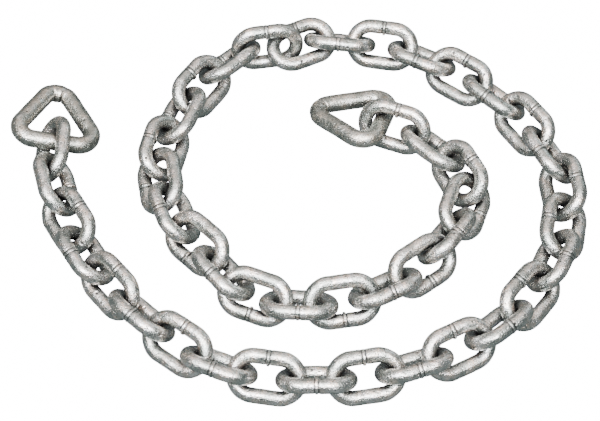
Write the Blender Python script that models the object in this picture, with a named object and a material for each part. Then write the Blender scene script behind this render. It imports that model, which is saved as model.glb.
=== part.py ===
"""A short-link steel chain with a triangular ring on each end, laid on a floor in a loose inward spiral.

Metres, +Z up, the floor at Z = 0. The chain is 45 welded links of round wire. Each link is one closed
loop that passes through the next, and it leans over until one of its long bars lies on the floor, by
turns to the left and to the right. The links are set out one after another along a route over the
floor: each is brought back along it until its wire just clears the wire of the link before.
"""

import math

import bpy
import numpy as np
from mathutils import Matrix, Vector

OBJECT_NAME = "laid_chain"

# The link: round wire bent to two straight bars and two half-round bows, and butt welded in one bar
LINK_COUNT = 45
WIRE_DIAMETER = 0.0076
LINK_INSIDE_LENGTH = 0.0252
LINK_OUTSIDE_WIDTH = 0.0268

# The end ring: thicker wire, bent to an equal-sided triangle with round corners
RING_WIRE_DIAMETER = 0.0094
RING_SIDE = 0.0507
RING_CORNER_RADIUS = 0.0080

# The clearance kept between the wires of neighbours where they bear on each other
CLEARANCE = 0.0001

# A wire's section is eight-sided, with its corners on the round wire's surface
SECTION_SIDES = 8
BOW_STEPS = 6
RING_CORNER_STEPS = 4
LEVEL_SHARE = 0.8

# The route of the link centres over the floor, from the outer end ring to the inner one
ROUTE = (
    (-0.132, 0.032), (-0.128, 0.009), (-0.110, -0.034), (-0.079, -0.071), (-0.040, -0.099), (0.008, -0.107),
    (0.056, -0.099), (0.099, -0.076), (0.129, -0.038), (0.138, 0.007), (0.121, 0.050), (0.088, 0.083),
    (0.046, 0.105), (0.001, 0.105), (-0.039, 0.093), (-0.065, 0.056), (-0.074, 0.014), (-0.053, -0.027),
    (-0.022, -0.059), (0.021, -0.062), (0.061, -0.042), (0.086, -0.003), (0.085, 0.016), (0.072, 0.033),
    (0.052, 0.046), (0.033, 0.060),
)

# How far each link leans over from lying flat, in degrees, from the outer end to the inner one
LEANS = (
    50, 50, 41, 41, 50, 50, 40, 46, 39, 43, 39, 44, 39, 46, 39, 48, 32, 47, 47, 43, 43, 37, 37, 44, 44,
    18, 75, 42, 37, 37, 37, 36, 42, 42, 42, 36, 36, 40, 40, 40, 51, 32, 42, 38, 56,
)

# The chain takes up half a turn of twist here: from the next link on the leans change sides
LAST_LINK_BEFORE_TWIST = 26

# Links that lie turned from the direction of the route, in degrees to the left
TURNS = {
    1: -6, 3: 9, 19: 5, 24: 4, 25: -9, 26: 17, 27: -5, 28: 7, 30: 4, 33: -8, 34: 10, 35: -3, 36: 5,
    38: -3, 40: -8, 41: -5, 42: -3, 44: -4, 45: 13,
}

# A link that lies over both its neighbours, and how high its centre is held above the floor
RAISED_LINKS = {26: 0.0111}

# How each end ring lies in its link: the bearing of its tip, how far the tip dips and the base bar
# slopes, in degrees, how far the bar has slid sideways through the link, and the slack left in the link
OUTER_RING_LIE = (93, 5, 16, 0.0010, 0)
INNER_RING_LIE = (164, 5, 16, 0.0020, 0)

# A piece's place is tried from far to near by this step, starting at these distances from its link
SEARCH_STEP = 0.0005
FURTHEST_LINK_PLACE = 0.0270
FURTHEST_RING_PLACE = 0.0120
REFINEMENTS = 12
LOOP_SAMPLES_PER_SIDE = 6

# Colours of the zinc, and how dull it is
LINK_COLOUR = (0.56, 0.56, 0.53)
RING_COLOUR = (0.50, 0.49, 0.46)
ZINC_ROUGHNESS = 0.5

BOW_RADIUS = (LINK_OUTSIDE_WIDTH - WIRE_DIAMETER) / 2
HALF_BAR = LINK_INSIDE_LENGTH / 2 + WIRE_DIAMETER / 2 - BOW_RADIUS
LINK_SECTION_RADIUS = WIRE_DIAMETER / 2
RING_SECTION_RADIUS = RING_WIRE_DIAMETER / 2
FACET_DEPTH = math.cos(math.pi / SECTION_SIDES)


def arc(centre, radius, start, sweep, steps):
    """Points of a round stretch in the XY plane, both ends included."""
    points = []
    for step in range(steps + 1):
        angle = start + sweep * step / steps
        points.append(Vector((centre[0] + radius * math.cos(angle), centre[1] + radius * math.sin(angle), 0)))
    return points


def link_loop():
    """The centreline of a link, long axis along X, with a level stretch in the middle of each bar."""
    level = HALF_BAR * LEVEL_SHARE
    right_bow = arc((HALF_BAR, 0), BOW_RADIUS, -math.pi / 2, math.pi, BOW_STEPS)
    left_bow = arc((-HALF_BAR, 0), BOW_RADIUS, math.pi / 2, math.pi, BOW_STEPS)
    left_bar = [Vector((level, BOW_RADIUS, 0)), Vector((-level, BOW_RADIUS, 0))]
    right_bar = [Vector((-level, -BOW_RADIUS, 0)), Vector((level, -BOW_RADIUS, 0))]
    return right_bow + left_bar + left_bow + right_bar


def ring_loop():
    """The centreline of an end ring, its base bar along X through the origin and its tip towards +Y."""
    height = RING_SIDE * math.sqrt(3) / 2
    middle = Vector((0, height / 3, 0))
    points = []
    for corner in (Vector((-RING_SIDE / 2, 0, 0)), Vector((RING_SIDE / 2, 0, 0)), Vector((0, height, 0))):
        inward = (middle - corner).normalized()
        centre = corner + inward * 2 * RING_CORNER_RADIUS
        start = math.atan2(-inward.y, -inward.x) - math.pi / 3
        points += arc(centre, RING_CORNER_RADIUS, start, 2 * math.pi / 3, RING_CORNER_STEPS)
    return points


def sampled(points, pieces):
    """The closed loop through the points as an array, with every side cut into equal pieces."""
    corners = np.array([tuple(point) for point in points])
    onward = np.roll(corners, -1, axis=0) - corners
    shares = np.arange(pieces) / pieces
    return (corners[:, None] + onward[:, None] * shares[None, :, None]).reshape(-1, 3)


def placed(samples, matrix):
    """Sampled points moved by a 4 by 4 matrix."""
    turn = np.array(matrix.to_3x3())
    return samples @ turn.T + np.array(matrix.translation)


def nearest_distance(loop, other):
    """The shortest distance between the points of two sampled loops."""
    apart = loop[:, None] - other[None]
    return math.sqrt((apart ** 2).sum(axis=2).min())


class Route:
    """A smooth curve through the route's points, measured along its length."""

    SAMPLES_PER_SPAN = 40

    def __init__(self, points):
        p = np.array(points)
        p = np.vstack([2 * p[0] - p[1], p, 2 * p[-1] - p[-2]])
        curve = []
        for k in range(1, len(p) - 2):
            for t in np.arange(self.SAMPLES_PER_SPAN) / self.SAMPLES_PER_SPAN:
                bend = 2 * p[k - 1] - 5 * p[k] + 4 * p[k + 1] - p[k + 2]
                twist = 3 * p[k] - p[k - 1] - 3 * p[k + 1] + p[k + 2]
                curve.append(p[k] + ((p[k + 1] - p[k - 1]) * t + bend * t ** 2 + twist * t ** 3) / 2)
        curve.append(p[-2])
        self.curve = np.array(curve)
        self.reach = np.concatenate([[0], np.cumsum(np.linalg.norm(np.diff(self.curve, axis=0), axis=1))])

    def point(self, distance):
        """The place on the floor at a distance along the route."""
        x = np.interp(distance, self.reach, self.curve[:, 0])
        y = np.interp(distance, self.reach, self.curve[:, 1])
        return Vector((x, y, 0))

    def bearing(self, distance):
        """The direction of the route, taken over about one link's length."""
        behind = self.point(max(0, distance - LINK_INSIDE_LENGTH / 2))
        ahead = self.point(min(self.reach[-1], distance + LINK_INSIDE_LENGTH / 2))
        return math.atan2(ahead.y - behind.y, ahead.x - behind.x)


def lean_of(number):
    """A link's turn about its long axis, positive where its left bar is up."""
    amount = LEANS[number - 1]
    is_odd = number % 2 == 1
    left_bar_up = is_odd if number <= LAST_LINK_BEFORE_TWIST else not is_odd
    return math.radians(amount if left_bar_up else -amount)


def link_matrix(number, route, distance):
    """Where a link lies when its centre is over the route at a distance along it."""
    lean = lean_of(number)
    height = BOW_RADIUS * math.sin(abs(lean)) + LINK_SECTION_RADIUS * FACET_DEPTH
    location = route.point(distance) + Vector((0, 0, RAISED_LINKS.get(number, height)))
    bearing = route.bearing(distance) + math.radians(TURNS.get(number, 0))
    return Matrix.Translation(location) @ Matrix.Rotation(bearing, 4, "Z") @ Matrix.Rotation(lean, 4, "X")


def furthest_clear(matrix_at, samples, neighbour, contact, furthest):
    """The furthest distance at which a loop's centreline stays a contact's distance from its neighbour's."""
    def is_clear(distance):
        return nearest_distance(placed(samples, matrix_at(distance)), neighbour) > contact

    clear = furthest
    while not is_clear(clear):
        clear -= SEARCH_STEP
        if clear < 0:
            raise ValueError("this piece has no place clear of its neighbour")
    step = SEARCH_STEP
    for _ in range(REFINEMENTS):
        step /= 2
        if is_clear(clear + step):
            clear += step
    return clear


def lay_links(route, samples):
    """The matrix of every link, each as far from the link before as the two wires let it be."""
    contact = 2 * LINK_SECTION_RADIUS + CLEARANCE
    matrices = [link_matrix(1, route, 0)]
    distance = 0
    for number in range(2, LINK_COUNT + 1):
        before = placed(samples, matrices[-1])

        def matrix_at(pitch):
            return link_matrix(number, route, distance + pitch)

        distance += furthest_clear(matrix_at, samples, before, contact, FURTHEST_LINK_PLACE)
        matrices.append(link_matrix(number, route, distance))
    return matrices


def lay_ring(lie, link, end_direction, link_samples, ring_samples):
    """Where an end ring lies: pulled out in its link, its tip and one corner down on the floor."""
    bearing, dip, slope = (math.radians(angle) for angle in lie[:3])
    turn = Matrix.Rotation(bearing - math.pi / 2, 4, "Z") @ Matrix.Rotation(-dip, 4, "X")
    turn = turn @ Matrix.Rotation(slope, 4, "Y")
    height = RING_SECTION_RADIUS - placed(ring_samples, turn)[:, 2].min()
    sideways = Vector((math.sin(bearing), -math.cos(bearing), 0)) * lie[3]
    start = Vector((link.translation.x, link.translation.y, height)) + sideways

    def matrix_at(distance):
        return Matrix.Translation(start + end_direction * distance) @ turn

    neighbour = placed(link_samples, link)
    contact = LINK_SECTION_RADIUS + RING_SECTION_RADIUS + CLEARANCE
    pulled_out = furthest_clear(matrix_at, ring_samples, neighbour, contact, FURTHEST_RING_PLACE)
    return matrix_at(pulled_out - lie[4])


def zinc_material(name, colour, roughness):
    """Hot-dip zinc on steel: dull, light grey and metallic."""
    material = bpy.data.materials.new(name)
    material.use_nodes = True
    shader = material.node_tree.nodes["Principled BSDF"]
    shader.inputs["Base Color"].default_value = (*colour, 1)
    shader.inputs["Roughness"].default_value = roughness
    shader.inputs["Metallic"].default_value = 1
    material.diffuse_color = (*colour, 1)
    return material


def add_wire(name, points, section_radius, tilt, matrix, colour, collection):
    """One closed loop of round wire as a curve with an eight-sided section."""
    curve = bpy.data.curves.new(name, "CURVE")
    curve.dimensions = "3D"
    curve.twist_mode = "Z_UP"
    curve.bevel_depth = section_radius
    curve.bevel_resolution = (SECTION_SIDES - 4) // 2
    spline = curve.splines.new("POLY")
    spline.points.add(len(points) - 1)
    for place, point in zip(spline.points, points):
        place.co = (*point, 1)
        place.tilt = tilt
    spline.use_cyclic_u = True
    spline.use_smooth = True
    curve.materials.append(zinc_material(name + "_zinc", colour, ZINC_ROUGHNESS))
    wire = bpy.data.objects.new(name, curve)
    wire.matrix_world = matrix
    collection.objects.link(wire)
    return wire


def centred_on_floor(wires):
    """Move the wires together until their common box stands on the origin with the middle of its base."""
    bpy.context.view_layer.update()
    shapes = bpy.context.evaluated_depsgraph_get()
    corners = []
    for wire in wires:
        mesh = wire.evaluated_get(shapes).to_mesh()
        corners += [wire.matrix_world @ vertex.co for vertex in mesh.vertices]
        wire.evaluated_get(shapes).to_mesh_clear()
    low, high = (Vector(pick(corner[axis] for corner in corners) for axis in range(3)) for pick in (min, max))
    base_centre = Vector(((low.x + high.x) / 2, (low.y + high.y) / 2, low.z))
    for wire in wires:
        wire.matrix_world = Matrix.Translation(-base_centre) @ wire.matrix_world


def build():
    """Lay the whole chain."""
    for leftover in list(bpy.data.objects):
        bpy.data.objects.remove(leftover, do_unlink=True)
    chain = bpy.data.collections.new(OBJECT_NAME)
    bpy.context.scene.collection.children.link(chain)

    link_points = link_loop()
    ring_points = ring_loop()
    link_samples = sampled(link_points, LOOP_SAMPLES_PER_SIDE)
    ring_samples = sampled(ring_points, LOOP_SAMPLES_PER_SIDE)
    links = lay_links(Route(ROUTE), link_samples)

    for number, matrix in enumerate(links, start=1):
        tilt = math.pi / SECTION_SIDES - abs(lean_of(number))
        add_wire(f"link_{number:02d}", link_points, LINK_SECTION_RADIUS, tilt, matrix, LINK_COLOUR, chain)

    first, last = links[0], links[-1]
    outer = lay_ring(OUTER_RING_LIE, first, -first.col[0].xyz, link_samples, ring_samples)
    inner = lay_ring(INNER_RING_LIE, last, last.col[0].xyz, link_samples, ring_samples)
    for name, matrix in (("end_ring_outer", outer), ("end_ring_inner", inner)):
        add_wire(name, ring_points, RING_SECTION_RADIUS, 0, matrix, RING_COLOUR, chain)
    centred_on_floor(list(chain.objects))


build()
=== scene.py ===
import math

import bpy
import numpy as np
from mathutils import Matrix, Vector


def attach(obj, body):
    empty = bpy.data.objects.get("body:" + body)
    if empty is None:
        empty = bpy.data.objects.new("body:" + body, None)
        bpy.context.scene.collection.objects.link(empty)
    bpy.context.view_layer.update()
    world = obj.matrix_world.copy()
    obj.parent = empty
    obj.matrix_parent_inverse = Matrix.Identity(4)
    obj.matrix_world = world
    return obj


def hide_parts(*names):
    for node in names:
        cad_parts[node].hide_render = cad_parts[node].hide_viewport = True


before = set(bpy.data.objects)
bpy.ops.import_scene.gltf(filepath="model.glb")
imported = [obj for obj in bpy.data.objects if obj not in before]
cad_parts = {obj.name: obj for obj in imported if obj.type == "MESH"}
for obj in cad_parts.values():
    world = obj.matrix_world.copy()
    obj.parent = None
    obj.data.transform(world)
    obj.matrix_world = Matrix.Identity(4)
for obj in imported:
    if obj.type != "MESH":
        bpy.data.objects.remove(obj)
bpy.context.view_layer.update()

# The camera stands in front of the spiral and looks down on it. Its height and its long lens come from
# the sizes of the links along the photograph's four edges.
CAMERA_AIM = Vector((0.0027, -0.0015, 0))
CAMERA_ELEVATION = math.radians(55.5)
CAMERA_DISTANCE = 0.895
CAMERA_LENS_MM = 101.7
camera = bpy.data.objects.new("camera", bpy.data.cameras.new("camera"))
camera.data.lens = CAMERA_LENS_MM
camera.data.sensor_width = 36
camera.data.clip_start = 0.01
camera.location = CAMERA_AIM + CAMERA_DISTANCE * Vector(
    (0, -math.cos(CAMERA_ELEVATION), math.sin(CAMERA_ELEVATION))
)
camera.rotation_euler = (math.pi / 2 - CAMERA_ELEVATION, 0, 0)
bpy.context.scene.collection.objects.link(camera)
bpy.context.scene.camera = camera

# Four softboxes light the chain: a wide one overhead, a warm one behind it, a narrow one in front and a
# small one at the back right. The room beyond them is an even, dim, greenish grey. Each softbox below has
# its name, place, size, watts and colour.
SOFTBOXES = (
    ("softbox_overhead", (-0.05, -0.26, 0.95), (1.3, 0.75), 26, (1.0, 0.915, 0.90)),
    ("softbox_behind", (-0.05, 0.62, 0.90), (1.4, 0.9), 7, (1.0, 0.84, 0.79)),
    ("softbox_front", (-0.10, -0.55, 0.90), (1.1, 0.30), 30, (0.97, 0.97, 1.0)),
    ("softbox_back_right", (0.8, 0.9, 0.5), (0.4, 0.4), 2, (0.90, 0.98, 1.0)),
)
ROOM_COLOUR = (0.13, 0.165, 0.165, 1)
for name, place, size, watts, colour in SOFTBOXES:
    light = bpy.data.objects.new(name, bpy.data.lights.new(name, "AREA"))
    light.data.shape = "RECTANGLE"
    light.data.size, light.data.size_y = size
    light.data.energy = watts
    light.data.color = colour
    light.location = place
    light.rotation_euler = (-Vector(place)).to_track_quat("-Z", "Y").to_euler()
    bpy.context.scene.collection.objects.link(light)
room = bpy.data.worlds.new("room")
bpy.context.scene.world = room
room.use_nodes = True
room.node_tree.nodes["Background"].inputs["Color"].default_value = ROOM_COLOUR

# The floor is a plain sheet a little below the chain's solids. Its own colour is nearly black, and it
# glows for camera rays alone: it looks white, but the wires reflect it as dark and get almost no light
# from it, which gives them the dark undersides and outlines of the photograph.
FLOOR_HEIGHT = -0.0004
FLOOR_SIZE = 6.0
FLOOR_COLOUR = (0.042, 0.056, 0.056, 1)
FLOOR_ROUGHNESS = 0.9
FLOOR_GLOW = 16.0
bpy.ops.mesh.primitive_plane_add(size=FLOOR_SIZE, location=(0, 0, FLOOR_HEIGHT))
floor = bpy.context.object
floor.name = "floor"
paper = bpy.data.materials.new("white floor")
paper.use_nodes = True
paper_shader = paper.node_tree.nodes["Principled BSDF"]
paper_shader.inputs["Base Color"].default_value = FLOOR_COLOUR
paper_shader.inputs["Roughness"].default_value = FLOOR_ROUGHNESS
paper_shader.inputs["Emission Color"].default_value = (1, 1, 1, 1)
seen_by = paper.node_tree.nodes.new("ShaderNodeLightPath")
glow = paper.node_tree.nodes.new("ShaderNodeMath")
glow.operation = "MULTIPLY"
glow.inputs[1].default_value = FLOOR_GLOW
paper.node_tree.links.new(seen_by.outputs["Is Camera Ray"], glow.inputs[0])
paper.node_tree.links.new(glow.outputs["Value"], paper_shader.inputs["Emission Strength"])
floor.data.materials.append(paper)

# The zinc that the chain was dipped in after welding. It froze in cloudy patches of lighter and darker
# grey, ran a little thick in places, and has small black pits where it did not take.


def new_group(name, inputs, outputs):
    """An empty shader node group with float or colour sockets, and its input and output nodes."""
    group = bpy.data.node_groups.new(name, "ShaderNodeTree")
    for socket_name, kind, value in inputs:
        socket = group.interface.new_socket(socket_name, in_out="INPUT", socket_type=kind)
        if value is not None:
            socket.default_value = value
    for socket_name, kind in outputs:
        group.interface.new_socket(socket_name, in_out="OUTPUT", socket_type=kind)
    return group, group.nodes.new("NodeGroupInput"), group.nodes.new("NodeGroupOutput")


def add_node(tree, kind, values=(), **settings):
    """A node with its settings, and with plain values or links put into its sockets."""
    node = tree.nodes.new(kind)
    for setting, value in settings.items():
        setattr(node, setting, value)
    for socket, value in dict(values).items():
        if isinstance(value, bpy.types.NodeSocket):
            tree.links.new(value, node.inputs[socket])
        else:
            node.inputs[socket].default_value = value
    return node


def cloud_group():
    """Soft patches from 0 to 1: clouds of the frozen zinc, with a share of hard-edged cells mixed in."""
    group, given, result = new_group(
        "zinc clouds",
        [("Place", "NodeSocketVector", None), ("Patches per metre", "NodeSocketFloat", 120.0)],
        [("Mask", "NodeSocketFloat")],
    )
    cell_share = 0.22
    darkest = 0.34
    lightest = 0.66
    place, scale = given.outputs["Place"], given.outputs["Patches per metre"]
    big = add_node(
        group, "ShaderNodeTexNoise", {"Vector": place, "Scale": scale, "Detail": 5.0, "Roughness": 0.62}
    )
    cells = add_node(group, "ShaderNodeTexVoronoi", {"Vector": place, "Scale": scale}, feature="F1")
    tone = add_node(group, "ShaderNodeSeparateColor", {"Color": cells.outputs["Color"]})
    mixed = add_node(
        group,
        "ShaderNodeMix",
        {0: cell_share, 2: big.outputs["Fac"], 3: tone.outputs["Red"]},
        data_type="FLOAT",
    )
    spread = add_node(
        group,
        "ShaderNodeMapRange",
        {"Value": mixed.outputs[0], "From Min": darkest, "From Max": lightest},
        interpolation_type="SMOOTHSTEP",
    )
    group.links.new(spread.outputs["Result"], result.inputs["Mask"])
    return group


def pit_group():
    """Small round pits: 1 in a pit's middle and 0 outside, with some of the cells left without one."""
    group, given, result = new_group(
        "zinc pits",
        [
            ("Place", "NodeSocketVector", None),
            ("Pits per metre", "NodeSocketFloat", 300.0),
            ("Size", "NodeSocketFloat", 0.16),
            ("Share left out", "NodeSocketFloat", 0.6),
        ],
        [("Mask", "NodeSocketFloat")],
    )
    cells = add_node(
        group,
        "ShaderNodeTexVoronoi",
        {"Vector": given.outputs["Place"], "Scale": given.outputs["Pits per metre"]},
        feature="F1",
    )
    cell = add_node(group, "ShaderNodeSeparateColor", {"Color": cells.outputs["Color"]})
    kept = add_node(
        group,
        "ShaderNodeMath",
        {0: cell.outputs["Red"], 1: given.outputs["Share left out"]},
        operation="GREATER_THAN",
    )
    width = add_node(
        group, "ShaderNodeMath", {0: cell.outputs["Green"], 1: given.outputs["Size"]}, operation="MULTIPLY"
    )
    depth = add_node(
        group,
        "ShaderNodeMapRange",
        {"Value": cells.outputs["Distance"], "From Max": width.outputs[0], "To Min": 1.0, "To Max": 0.0},
        interpolation_type="SMOOTHSTEP",
    )
    mask = add_node(
        group, "ShaderNodeMath", {0: depth.outputs["Result"], 1: kept.outputs[0]}, operation="MULTIPLY"
    )
    group.links.new(mask.outputs[0], result.inputs["Mask"])
    return group


def scratch_group():
    """Fine marks that run along the wire, read from the wire's own length and girth coordinates."""
    group, given, result = new_group(
        "wire scratches",
        [("Along wire", "NodeSocketVector", None)],
        [("Mask", "NodeSocketFloat")],
    )
    marks_per_metre = (90, 1500, 1500)
    faintest = 0.56
    deepest = 0.74
    drawn = add_node(
        group,
        "ShaderNodeMapping",
        {"Vector": given.outputs["Along wire"], "Scale": marks_per_metre},
        vector_type="POINT",
    )
    streaks = add_node(
        group,
        "ShaderNodeTexNoise",
        {"Vector": drawn.outputs["Vector"], "Scale": 1.0, "Detail": 3.0, "Roughness": 0.6},
    )
    mask = add_node(
        group,
        "ShaderNodeMapRange",
        {"Value": streaks.outputs["Fac"], "From Min": faintest, "From Max": deepest},
        interpolation_type="SMOOTHSTEP",
    )
    group.links.new(mask.outputs["Result"], result.inputs["Mask"])
    return group


ZINC_METALLIC = 0.95
ZINC_SPECULAR = 0.4
ZINC_WARM_BLOOM = (0.93, 0.80, 0.70, 1)
ZINC_COOL_BLOOM = (0.92, 0.95, 1.0, 1)
# Black for the pits, and for the painted shade in the weld grooves and hollows
PIT_AND_SHADE_BLACK = (0.018, 0.018, 0.02)
CLOUDS_PER_METRE = 170.0
BLOOMS_PER_METRE = 330.0
MOTTLE_PER_METRE = 1250.0
PITS = {"Pits per metre": 230.0, "Size": 0.30, "Share left out": 0.55}
SPECKS = {"Pits per metre": 1000.0, "Size": 0.80, "Share left out": 0.5}

# How much of its own colour each pattern lays over the zinc; the weld grooves and hollows get painted shade
MOTTLE_STAIN = 0.80
SPECK_STAIN = 0.85
PIT_STAIN = 1.0
WELD_GROOVE_SHADE_STRENGTH = 0.92
HOLLOW_SHADE_STRENGTH = 0.98

# How much smoother and duller the mottle makes the zinc, and how much duller a pit is
SMOOTHER = 0.05
DULLER = 0.09
PIT_DULLER = 0.4

# Each pattern's relief in metres, how strongly it shows, and whether the pattern is sunken
CLOUD_RELIEF = (0.0004, 0.30, False)
MOTTLE_RELIEF = (0.00022, 0.30, True)
SPECK_RELIEF = (0.00028, 0.60, True)
MARK_RELIEF = (0.00008, 0.4, True)
PIT_RELIEF = (0.0006, 0.9, True)

zinc_clouds = cloud_group()
zinc_pits = pit_group()
wire_scratches = scratch_group()


def zinc_mask(tree, group, inputs):
    """The mask that one of the zinc's groups gives for these inputs."""
    return add_node(tree, "ShaderNodeGroup", inputs, node_tree=group).outputs["Mask"]


def laid_over(tree, share, under, over, **settings):
    """One colour laid over another by a share, which is a number or a mask."""
    mix = add_node(tree, "ShaderNodeMix", {0: share, 6: under, 7: over}, data_type="RGBA", **settings)
    return mix.outputs[2]


def zinc_material(name, light, dark, grime, roughness):
    """Zinc in two greys with a warm and a cool bloom, pits, marks along the wire, and painted shade in the
    weld grooves, between wires and near the floor.
    """
    material = bpy.data.materials.new(name)
    material.use_nodes = True
    tree = material.node_tree
    shader = tree.nodes["Principled BSDF"]
    shader.inputs["Metallic"].default_value = ZINC_METALLIC
    shader.inputs["Specular IOR Level"].default_value = ZINC_SPECULAR
    place = add_node(tree, "ShaderNodeTexCoord").outputs["Object"]
    wire = add_node(tree, "ShaderNodeAttribute", attribute_name="wire_place").outputs["Vector"]
    weld_groove_shade = add_node(tree, "ShaderNodeAttribute", attribute_name="weld_groove_shade").outputs["Fac"]
    painted_shade = add_node(tree, "ShaderNodeAttribute", attribute_name="painted_shade").outputs["Fac"]

    clouds = zinc_mask(tree, zinc_clouds, {"Place": place, "Patches per metre": CLOUDS_PER_METRE})
    blooms = zinc_mask(tree, zinc_clouds, {"Place": place, "Patches per metre": BLOOMS_PER_METRE})
    mottle = zinc_mask(tree, zinc_clouds, {"Place": place, "Patches per metre": MOTTLE_PER_METRE})
    pits = zinc_mask(tree, zinc_pits, {"Place": place, **PITS})
    specks = zinc_mask(tree, zinc_pits, {"Place": place, **SPECKS})
    marks = zinc_mask(tree, wire_scratches, {"Along wire": wire})

    bloom = laid_over(tree, blooms, ZINC_COOL_BLOOM, ZINC_WARM_BLOOM)
    bright = laid_over(tree, 1.0, bloom, (*light, 1), blend_type="MULTIPLY")
    colour = laid_over(tree, clouds, (*dark, 1), bright)
    # Mottle, specks and pits are the zinc's own colour; the weld and hollow masks lay painted shade
    for share, mask, tint in (
        (MOTTLE_STAIN, mottle, dark),
        (SPECK_STAIN, specks, grime),
        (PIT_STAIN, pits, PIT_AND_SHADE_BLACK),
        (WELD_GROOVE_SHADE_STRENGTH, weld_groove_shade, PIT_AND_SHADE_BLACK),
        (HOLLOW_SHADE_STRENGTH, painted_shade, PIT_AND_SHADE_BLACK),
    ):
        strength = add_node(tree, "ShaderNodeMath", {0: mask, 1: share}, operation="MULTIPLY").outputs[0]
        colour = laid_over(tree, strength, colour, (*tint, 1))
    tree.links.new(colour, shader.inputs["Base Color"])

    dullness = add_node(
        tree,
        "ShaderNodeMapRange",
        {"Value": mottle, "To Min": roughness - SMOOTHER, "To Max": roughness + DULLER},
    ).outputs["Result"]
    dull_pits = add_node(
        tree, "ShaderNodeMath", {0: pits, 1: PIT_DULLER, 2: dullness}, operation="MULTIPLY_ADD"
    ).outputs[0]
    tree.links.new(dull_pits, shader.inputs["Roughness"])

    normal = None
    for mask, (depth, strength, sunken) in (
        (clouds, CLOUD_RELIEF),
        (mottle, MOTTLE_RELIEF),
        (specks, SPECK_RELIEF),
        (marks, MARK_RELIEF),
        (pits, PIT_RELIEF),
    ):
        relief = add_node(
            tree, "ShaderNodeBump", {"Strength": strength, "Distance": depth, "Height": mask}, invert=sunken
        )
        if normal:
            tree.links.new(normal, relief.inputs["Normal"])
        normal = relief.outputs["Normal"]
    tree.links.new(normal, shader.inputs["Normal"])
    return material


# A link is a cut of round wire bent to an oval and butt welded in the middle of one bar. The weld left a
# low collar with a groove on each side, and it stands out most on the inside of the link. The links lean
# to the left and right by turns, each where its solid lies.
WIRE_RADIUS = 0.00385
BOW_RADIUS = 0.0096
HALF_BAR = 0.0068
HALF_LOOP = 2 * HALF_BAR + math.pi * BOW_RADIUS
SIDES = 32
BOW_CUTS = 36
BAR_CUTS = 16
MERGE_DISTANCE = 0.00002
COLLAR_PROFILE = (
    (0, 1.085),
    (0.0003, 1.08),
    (0.0006, 1.05),
    (0.0009, 0.965),
    (0.0011, 0.945),
    (0.0015, 0.985),
    (0.0020, 1.0),
)
COLLAR_LEAN = 0.00035
COLLAR_LOOP_TOLERANCE = 0.00004
GROOVE_PLACE = 0.0010
GROOVE_SPREAD = 0.00030
BAR_BOW = 0.0003
LINK_COUNT = 45
WELDS_ON_LEFT = {2} | set(range(3, 26, 2))
LUMP_SIZE = 0.006
LUMP_HEIGHT = 0.00035
LUMP_DETAIL = 3
LINK_LIGHT = (0.94, 0.91, 0.88)
LINK_DARK = (0.33, 0.36, 0.34)
LINK_ROUGHNESS = 0.22
GRIME = (0.09, 0.095, 0.09)
MIDDLE_LINE_STEP = 0.0012
# How far the painted shade reaches from neighbouring wires and from the floor, and how dark it is at the
# floor
HOLLOW_SHADE_REACH = 0.0023
FLOOR_SHADE_REACH = 0.0028
FLOOR_SHADE_DARKNESS = 0.75


def clear_selection():
    """Leave edit mode with nothing selected, because operators act on all that is selected."""
    if bpy.context.object and bpy.context.object.mode == "EDIT":
        bpy.ops.object.mode_set(mode="OBJECT")
    bpy.ops.object.select_all(action="DESELECT")


def start_wire(name, radius, sides, place):
    """A round wire end facing along X, open in edit mode with all of it selected."""
    clear_selection()
    bpy.ops.mesh.primitive_circle_add(
        vertices=sides, radius=radius, location=place, rotation=(0, math.pi / 2, 0)
    )
    bpy.context.object.name = name
    bpy.ops.object.transform_apply(location=True, rotation=True, scale=True)
    bpy.ops.object.mode_set(mode="EDIT")
    bpy.ops.mesh.select_all(action="SELECT")
    return bpy.context.object


def drawn_out(direction, steps):
    """Extrude the selected wire end straight on, step by step."""
    for step in steps:
        bpy.ops.mesh.extrude_region_move(TRANSFORM_OT_translate={"value": tuple(direction * step)})


def bent_round(centre, sweep, cuts):
    """Carry the selected wire end round a bend."""
    bpy.ops.mesh.spin(steps=cuts, angle=sweep, center=tuple(centre), axis=(0, 0, 1))


def close_wire():
    """Join the wire's end to its start, turn its faces outwards and leave edit mode."""
    bpy.ops.mesh.select_all(action="SELECT")
    bpy.ops.mesh.remove_doubles(threshold=MERGE_DISTANCE)
    bpy.ops.mesh.normals_make_consistent(inside=False)
    clear_selection()


def store(piece, name, kind, values):
    """Keep a value for every vertex, for the material to read."""
    attribute = piece.data.attributes.new(name, kind, "POINT")
    field = "vector" if kind == "FLOAT_VECTOR" else "value"
    attribute.data.foreach_set(field, np.asarray(values, np.float32).ravel())


def vertex_places(piece):
    """The places of a mesh's vertices as an array."""
    places = np.empty(len(piece.data.vertices) * 3, np.float32)
    piece.data.vertices.foreach_get("co", places)
    return places.reshape(-1, 3)


def raise_collar(link):
    """Scale the loops round the weld to the collar's profile, and lean the collar into the link."""
    bpy.context.view_layer.objects.active = link
    bpy.ops.object.mode_set(mode="EDIT")
    for distance, rise in COLLAR_PROFILE:
        bpy.ops.mesh.select_all(action="DESELECT")
        bpy.ops.object.mode_set(mode="OBJECT")
        for vertex in link.data.vertices:
            vertex.select = vertex.co.y < 0 and abs(abs(vertex.co.x) - distance) < COLLAR_LOOP_TOLERANCE
        bpy.ops.object.mode_set(mode="EDIT")
        bpy.ops.transform.resize(value=(1, rise, rise), center_override=(0, -BOW_RADIUS, 0))
        if rise > 1:
            bpy.ops.transform.translate(value=(0, COLLAR_LEAN, 0))
    clear_selection()


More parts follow.
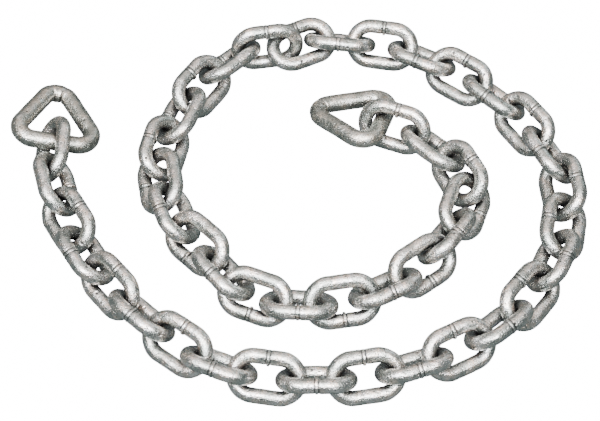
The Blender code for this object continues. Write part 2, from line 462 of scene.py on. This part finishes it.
def link_wire_places(link):
    """For every vertex: the length along the wire from the weld, and its place across the wire."""
    places = vertex_places(link)
    far_half = (places[:, 0] < -HALF_BAR) | ((abs(places[:, 0]) <= HALF_BAR) & (places[:, 1] > 0))
    side = np.where(far_half, -1, 1)
    x, y = places[:, 0] * side, places[:, 1] * side
    turn = np.arctan2(y, x - HALF_BAR)
    in_bow = x > HALF_BAR
    length = np.where(in_bow, HALF_BAR + BOW_RADIUS * (turn + math.pi / 2), x)
    outward = np.where(in_bow, np.hypot(x - HALF_BAR, y) - BOW_RADIUS, -y - BOW_RADIUS)
    return np.stack([length + far_half * HALF_LOOP, outward, places[:, 2]], axis=1)


def bow_out_bars(link):
    """Swell the two bars a little outwards, as the bending of the wire leaves them."""
    places = vertex_places(link)
    share = np.clip(1 - (places[:, 0] / (HALF_BAR + BOW_RADIUS)) ** 2, 0, 1)
    in_bar = abs(places[:, 1]) > BOW_RADIUS - 2 * WIRE_RADIUS
    places[:, 1] += np.sign(places[:, 1]) * BAR_BOW * share * in_bar
    link.data.vertices.foreach_set("co", places.ravel())
    link.data.update()


def model_link():
    """The link that all the others are copied from, long axis along X, its weld in the bar at -Y."""
    ahead = Vector((1, 0, 0))
    collar_places = [distance for distance, rise in COLLAR_PROFILE]
    collar_steps = np.diff(collar_places)
    plain = HALF_BAR - collar_places[-1]
    plain_steps = [plain / (BAR_CUTS / 2)] * (BAR_CUTS // 2)
    link = start_wire("link_pattern", WIRE_RADIUS, SIDES, (0, -BOW_RADIUS, 0))
    drawn_out(ahead, [*collar_steps, *plain_steps])
    bent_round((HALF_BAR, 0, 0), -math.pi, BOW_CUTS)
    drawn_out(-ahead, [2 * HALF_BAR / BAR_CUTS] * BAR_CUTS)
    bent_round((-HALF_BAR, 0, 0), -math.pi, BOW_CUTS)
    drawn_out(ahead, [*plain_steps, *collar_steps[::-1]])
    close_wire()
    raise_collar(link)
    wire_places = link_wire_places(link)
    bow_out_bars(link)
    store(link, "wire_place", "FLOAT_VECTOR", wire_places)
    # The grooves beside the collar are marked for the material, which paints shade into them
    from_groove = abs(abs(wire_places[:, 0]) - GROOVE_PLACE) / GROOVE_SPREAD
    store(link, "weld_groove_shade", "FLOAT", np.exp(-from_groove ** 2))
    return link


def lie_of(node):
    """The middle of a wire loop's solid, its long direction and its upright direction."""
    points = np.unique(vertex_places(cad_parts[node]).round(6), axis=0)
    middle = points.mean(axis=0)
    directions = np.linalg.eigh(np.cov((points - middle).T))[1]
    upright = Vector(directions[:, 0])
    if upright.z < 0:
        upright.negate()
    return Vector(middle), Vector(directions[:, 2]), upright


def place_of(middle, along, upright):
    """The matrix that brings a pattern's X axis along one direction and its Z axis upright."""
    across = upright.cross(along).normalized()
    turn = Matrix((across.cross(upright), across, upright)).transposed()
    return Matrix.Translation(middle) @ turn.to_4x4()


def laid_in(pattern, name, place):
    """A copy of a pattern with its own mesh, brought to its place."""
    piece = bpy.data.objects.new(name, pattern.data.copy())
    piece.data.transform(place)
    bpy.context.scene.collection.objects.link(piece)
    return piece


def middle_line(pattern, wire_places, place):
    """Points along the middle of a laid wire, which are the middles of the pattern's rings of vertices."""
    places = vertex_places(pattern)
    stations = (wire_places[:, 0] / MIDDLE_LINE_STEP).round()
    middles = np.array([places[stations == station].mean(axis=0) for station in np.unique(stations)])
    return middles @ np.array(place.to_3x3()).T + np.array(place.translation)


def paint_shade_in_hollows(piece, neighbours):
    """Mark where a wire nearly meets its neighbours or the floor, for painted shade on its zinc there."""
    places = vertex_places(piece)
    painted_shade = FLOOR_SHADE_DARKNESS * np.exp(-(np.clip(places[:, 2], 0, None) / FLOOR_SHADE_REACH) ** 2)
    for line, radius in neighbours:
        apart = np.linalg.norm(places[:, None] - line[None], axis=2).min(axis=1) - radius
        painted_shade = np.maximum(painted_shade, np.exp(-(np.clip(apart, 0, None) / HOLLOW_SHADE_REACH) ** 2))
    store(piece, "painted_shade", "FLOAT", painted_shade)


def dipped(piece, lumps, height):
    """Give a wire the uneven skin of its zinc, from clouds that differ from place to place."""
    clear_selection()
    piece.select_set(True)
    bpy.context.view_layer.objects.active = piece
    swell = piece.modifiers.new("zinc skin", "DISPLACE")
    swell.texture = lumps
    swell.texture_coords = "LOCAL"
    swell.strength = height
    swell.mid_level = 0.5
    bpy.ops.object.modifier_apply(modifier=swell.name)
    bpy.ops.object.shade_smooth()
    clear_selection()


zinc_lumps = bpy.data.textures.new("zinc lumps", "CLOUDS")
zinc_lumps.noise_scale = LUMP_SIZE
zinc_lumps.noise_depth = LUMP_DETAIL
link_zinc = zinc_material("link zinc", LINK_LIGHT, LINK_DARK, GRIME, LINK_ROUGHNESS)
link_pattern = model_link()
link_pattern.data.materials.append(link_zinc)

link_nodes = [f"link_{number:02d}" for number in range(1, LINK_COUNT + 1)]
link_lies = [lie_of(node) for node in link_nodes]
link_places = []
for number, (middle, along, upright) in enumerate(link_lies, start=1):
    onward = link_lies[number][0] - middle if number < LINK_COUNT else middle - link_lies[number - 2][0]
    if (along.dot(onward) < 0) != (number in WELDS_ON_LEFT):
        along = -along
    link_places.append(place_of(middle, along, upright))
pattern_places = link_wire_places(link_pattern)
link_lines = [middle_line(link_pattern, pattern_places, place) for place in link_places]

ring_nodes = {"end_ring_outer": 0, "end_ring_inner": LINK_COUNT - 1}
ring_lines = {
    end: np.unique(vertex_places(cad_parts[node]), axis=0) for node, end in ring_nodes.items()
}
for order, (node, place) in enumerate(zip(link_nodes, link_places)):
    link = laid_in(link_pattern, f"{node}_wire", place)
    beside = [(link_lines[near], WIRE_RADIUS) for near in (order - 1, order + 1) if 0 <= near < LINK_COUNT]
    if order in ring_lines:
        beside.append((ring_lines[order], 0))
    # Painted shade where the link nears its neighbours, its end ring or the floor
    paint_shade_in_hollows(link, beside)
    dipped(link, zinc_lumps, LUMP_HEIGHT)
    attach(link, "root")
    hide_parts(node)
bpy.data.objects.remove(link_pattern)

# An end ring is a length of thicker wire bent to a triangle, its two ends welded together at the tip.
# The weld filled the inside of the tip with a lump between two creases. The rings' zinc is darker than
# the links', and slightly greener.
RING_WIRE_RADIUS = 0.0047
RING_SIDE = 0.0507
RING_CORNER_RADIUS = 0.0080
RING_IN_RADIUS = RING_SIDE / (2 * math.sqrt(3))
RING_HALF_BAR = RING_SIDE / 2 - RING_CORNER_RADIUS * math.sqrt(3)
RING_BAR_CUTS = 36
RING_CORNER_CUTS = 28
RING_WELD_HALF_LENGTH = 0.0034
RING_WELD_RISE = 0.0006
RING_CREASE_DEPTH = 0.0008
RING_CREASE_SPREAD = 0.0007
RING_CREASE_OUTSIDE = 0.25
RING_LIGHT = (0.70, 0.70, 0.65)
RING_DARK = (0.25, 0.27, 0.245)
RING_ROUGHNESS = 0.26


def model_ring():
    """The ring that both ends are copied from: its middle at the origin, its tip towards +Y."""
    turn = Matrix.Rotation(2 * math.pi / 3, 3, "Z")
    ahead = Vector((1, 0, 0))
    corner_centre = Vector((RING_HALF_BAR, RING_CORNER_RADIUS - RING_IN_RADIUS, 0))
    half_bar = [2 * RING_HALF_BAR / RING_BAR_CUTS] * (RING_BAR_CUTS // 2)
    ring = start_wire("ring_pattern", RING_WIRE_RADIUS, SIDES, (0, -RING_IN_RADIUS, 0))
    for _ in range(3):
        drawn_out(ahead, half_bar)
        bent_round(corner_centre, -2 * math.pi / 3, RING_CORNER_CUTS)
        ahead = turn @ ahead
        drawn_out(ahead, half_bar)
        corner_centre = turn @ corner_centre
    close_wire()
    return ring


def ring_wire_places(ring):
    """For every vertex: the length along the wire from the tip, and its place across the wire."""
    places = vertex_places(ring)
    third = 2 * math.pi / 3
    from_tip = np.angle(-1j * (places[:, 0] + 1j * places[:, 1]))
    corner = np.round(from_tip / third)
    turned = (places[:, 0] + 1j * places[:, 1]) * np.exp(-1j * corner * third)
    centre_y = 2 * (RING_IN_RADIUS - RING_CORNER_RADIUS)
    side = np.sign(-turned.real)
    x, y = abs(turned.real), turned.imag - centre_y
    out_direction = x * math.cos(math.pi / 6) + y * math.sin(math.pi / 6)
    down_bar = x * math.sin(math.pi / 6) - y * math.cos(math.pi / 6)
    in_bend = down_bar < 0
    bend = np.arctan2(x, y)
    length = np.where(in_bend, RING_CORNER_RADIUS * bend, RING_CORNER_RADIUS * math.pi / 3 + down_bar)
    outward = np.where(in_bend, np.hypot(x, y), out_direction) - RING_CORNER_RADIUS
    third_length = 2 * (RING_HALF_BAR + RING_CORNER_RADIUS * math.pi / 3)
    return np.stack([side * length + corner * third_length, outward, places[:, 2]], axis=1)


def weld_tip(ring, wire_places):
    """Raise the lump of weld inside the tip, and press a crease into the wire on each side of it."""
    normals = np.empty(len(ring.data.vertices) * 3, np.float32)
    ring.data.vertices.foreach_get("normal", normals)
    inside = np.clip(-wire_places[:, 1] / RING_WIRE_RADIUS, 0, 1)
    past_end = abs(wire_places[:, 0]) - RING_WELD_HALF_LENGTH
    lump = np.clip(-past_end / RING_CREASE_SPREAD, 0, 1) * inside
    all_round = RING_CREASE_OUTSIDE + (1 - RING_CREASE_OUTSIDE) * inside
    crease = np.exp(-(past_end / RING_CREASE_SPREAD) ** 2) * all_round
    push = RING_WELD_RISE * lump - RING_CREASE_DEPTH * crease
    places = vertex_places(ring) + normals.reshape(-1, 3) * push[:, None]
    ring.data.vertices.foreach_set("co", places.ravel())
    ring.data.update()
    # The creases are marked for the material, which paints shade into them
    store(ring, "weld_groove_shade", "FLOAT", crease)


ring_zinc = zinc_material("ring zinc", RING_LIGHT, RING_DARK, GRIME, RING_ROUGHNESS)
ring_pattern = model_ring()
ring_places = ring_wire_places(ring_pattern)
store(ring_pattern, "wire_place", "FLOAT_VECTOR", ring_places)
weld_tip(ring_pattern, ring_places)
ring_pattern.data.materials.append(ring_zinc)

for node, end in ring_nodes.items():
    middle, _, upright = lie_of(node)
    points = vertex_places(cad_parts[node]) - np.array(middle)
    level = Vector((1, 0, 0)) - upright * upright.x
    level.normalize()
    cross = upright.cross(level)
    flat = points @ np.array(level) + 1j * (points @ np.array(cross))
    tip_turn = np.angle((flat ** 3).sum()) / 3
    away = middle - link_lies[end][0]
    away_turn = math.atan2(away.dot(cross), away.dot(level))
    tip_turn += round((away_turn - tip_turn) / (2 * math.pi / 3)) * 2 * math.pi / 3
    tip = level * math.cos(tip_turn) + cross * math.sin(tip_turn)
    ring = laid_in(ring_pattern, f"{node}_wire", place_of(middle, tip.cross(upright), upright))
    # Painted shade where the ring nears its link or the floor
    paint_shade_in_hollows(ring, [(link_lines[end], WIRE_RADIUS)])
    dipped(ring, zinc_lumps, LUMP_HEIGHT)
    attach(ring, "root")
    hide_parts(node)
bpy.data.objects.remove(ring_pattern)
